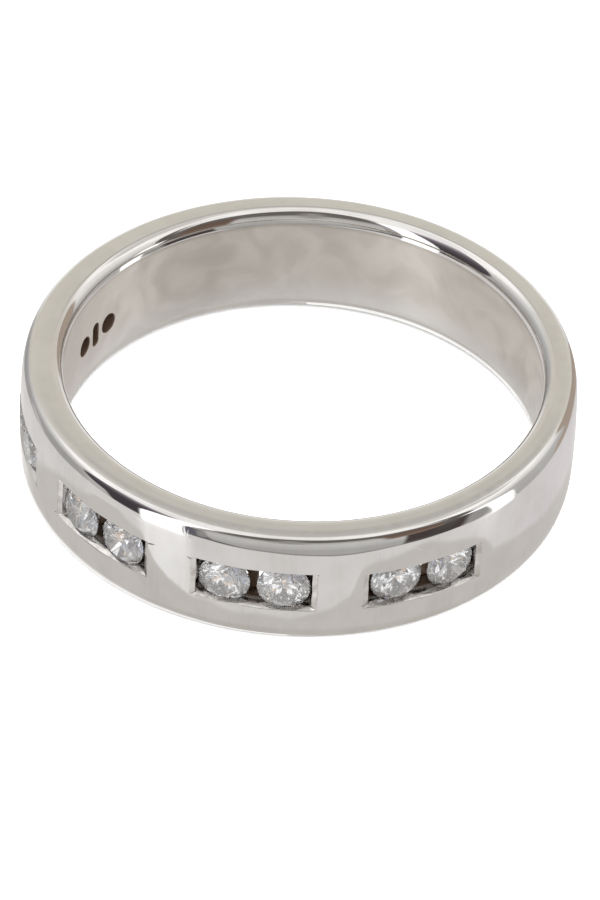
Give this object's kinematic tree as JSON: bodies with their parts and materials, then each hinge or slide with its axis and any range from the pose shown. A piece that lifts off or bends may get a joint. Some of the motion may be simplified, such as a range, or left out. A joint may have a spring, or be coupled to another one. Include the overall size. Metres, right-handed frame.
{
  "type": "half eternity ring",
  "caption": "Slim court-profile finger ring in white metal, its front half set with short channels that each hold a pair of round brilliants; pierced backs.",
  "frame": {"origin": "on the finger's axis, in the plane of the lower side face that the ring lies on", "axes": "+Z along the finger's axis, -Y towards the middle channel of the head, +X to the right of it"},
  "size_m": [0.0196, 0.0197, 0.0044],
  "materials": {
    "white_gold": "polished white gold, satin side faces, light wear",
    "diamond": "polished colourless diamond, facet by facet"
  },
  "bodies": {
    "root": {"band": "white_gold", "stone_01": "diamond", "stone_02": "diamond", "stone_03": "diamond", "stone_04": "diamond", "stone_05": "diamond", "stone_06": "diamond", "stone_07": "diamond", "stone_08": "diamond", "stone_09": "diamond", "stone_10": "diamond"}
  },
  "joints": []
}
